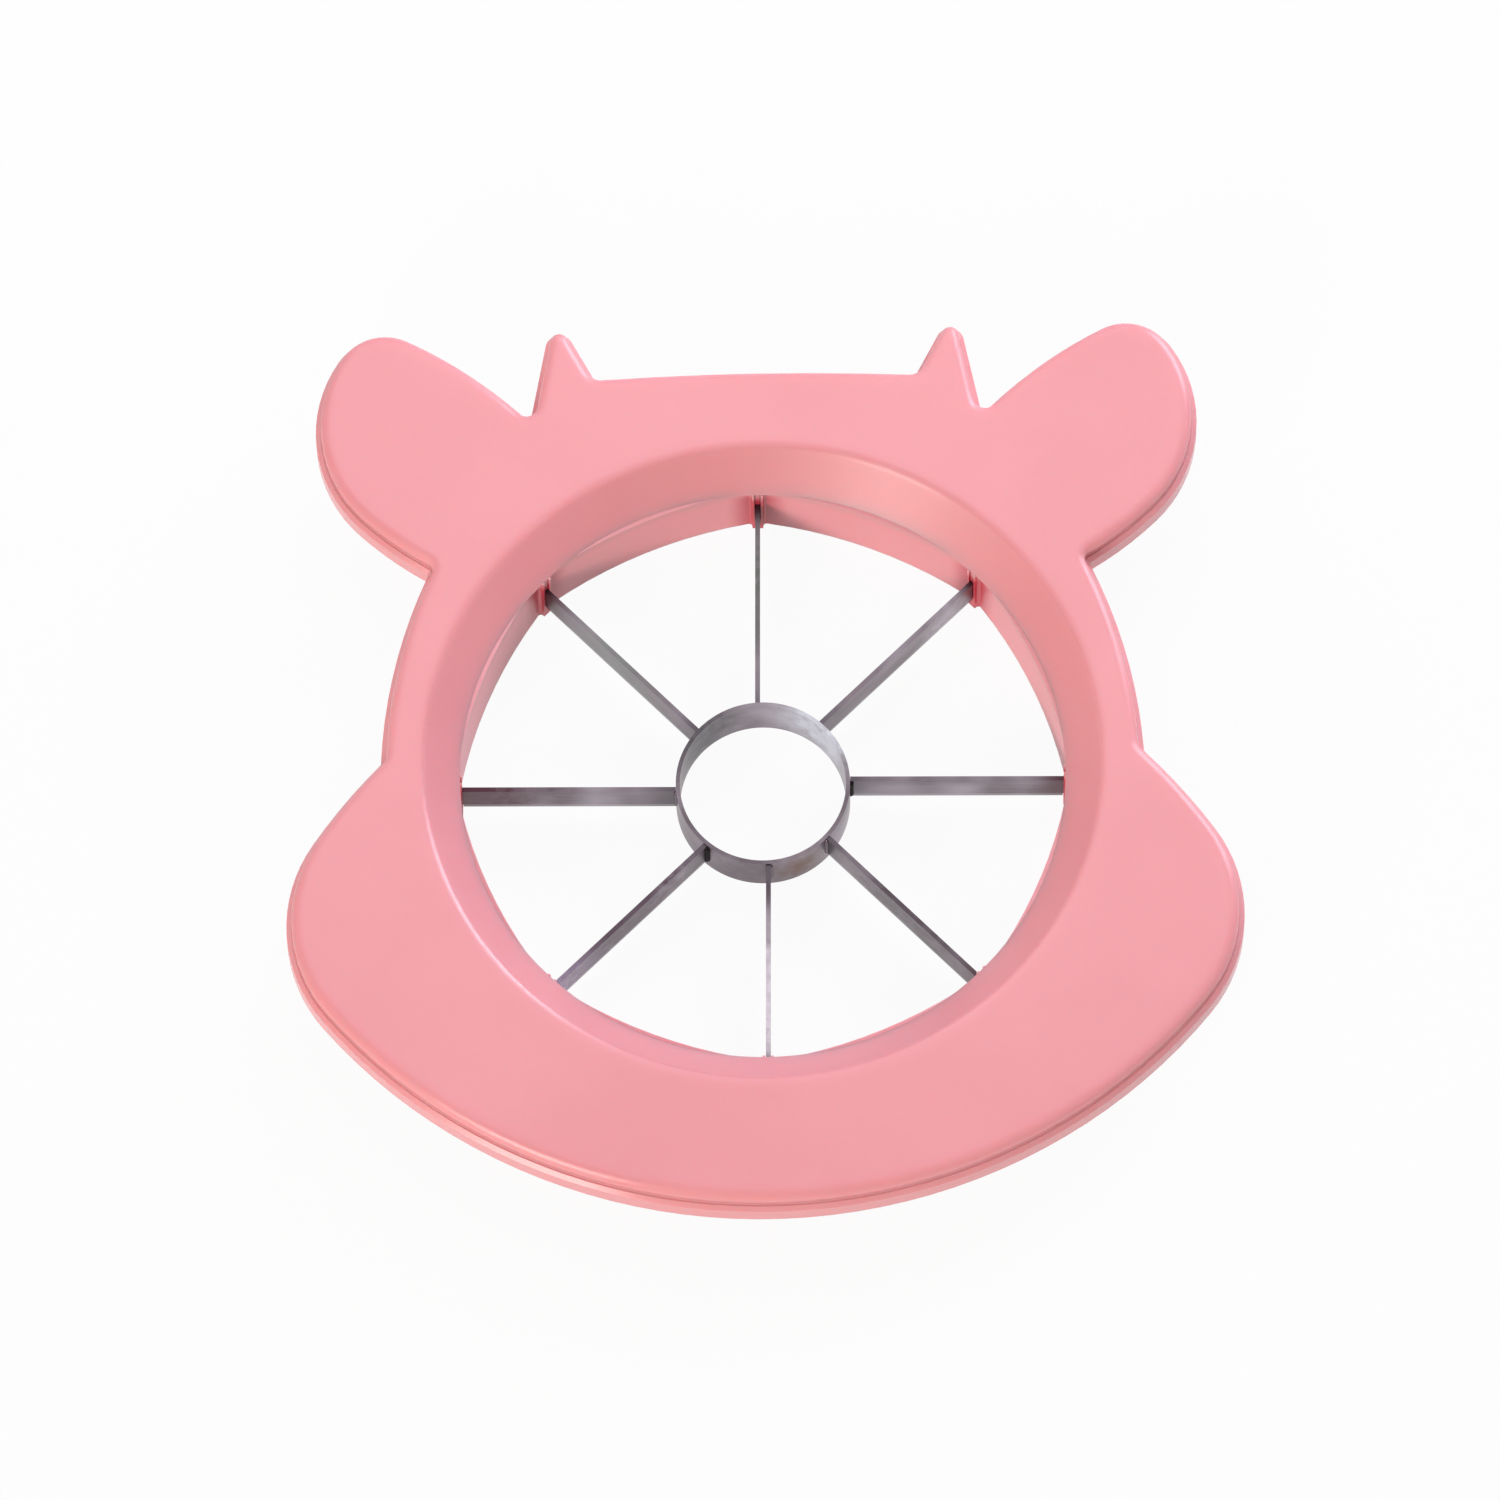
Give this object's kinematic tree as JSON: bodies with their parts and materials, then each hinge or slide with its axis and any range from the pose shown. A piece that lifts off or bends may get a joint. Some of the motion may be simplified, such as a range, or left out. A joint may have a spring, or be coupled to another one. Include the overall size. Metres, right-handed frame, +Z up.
{
  "type": "apple slicer and corer",
  "caption": "Hand-pressed apple slicer and corer: pink moulded frame shaped like a cow's head, sloping rim round straight steel blades that run from a corer ring to the collar.",
  "frame": {"origin": "on the corer's axis at the level of the board, which is also the middle of the outline's length and width", "axes": "+Z up from the board to the apple, -Y towards the chin, +X towards the head's cheek on the right as seen from above with the ears away"},
  "size_m": [0.14, 0.139, 0.018],
  "materials": {
    "pink_plastic": "satin-gloss moulded plastic",
    "stainless_steel": "fine-brushed stainless steel"
  },
  "bodies": {
    "root": {"upper_shell": "pink_plastic", "lower_shell": "pink_plastic", "core_ring": "stainless_steel", "blade_1": "stainless_steel", "blade_2": "stainless_steel", "blade_3": "stainless_steel", "blade_4": "stainless_steel", "blade_5": "stainless_steel", "blade_6": "stainless_steel", "blade_7": "stainless_steel", "blade_8": "stainless_steel"}
  },
  "joints": []
}
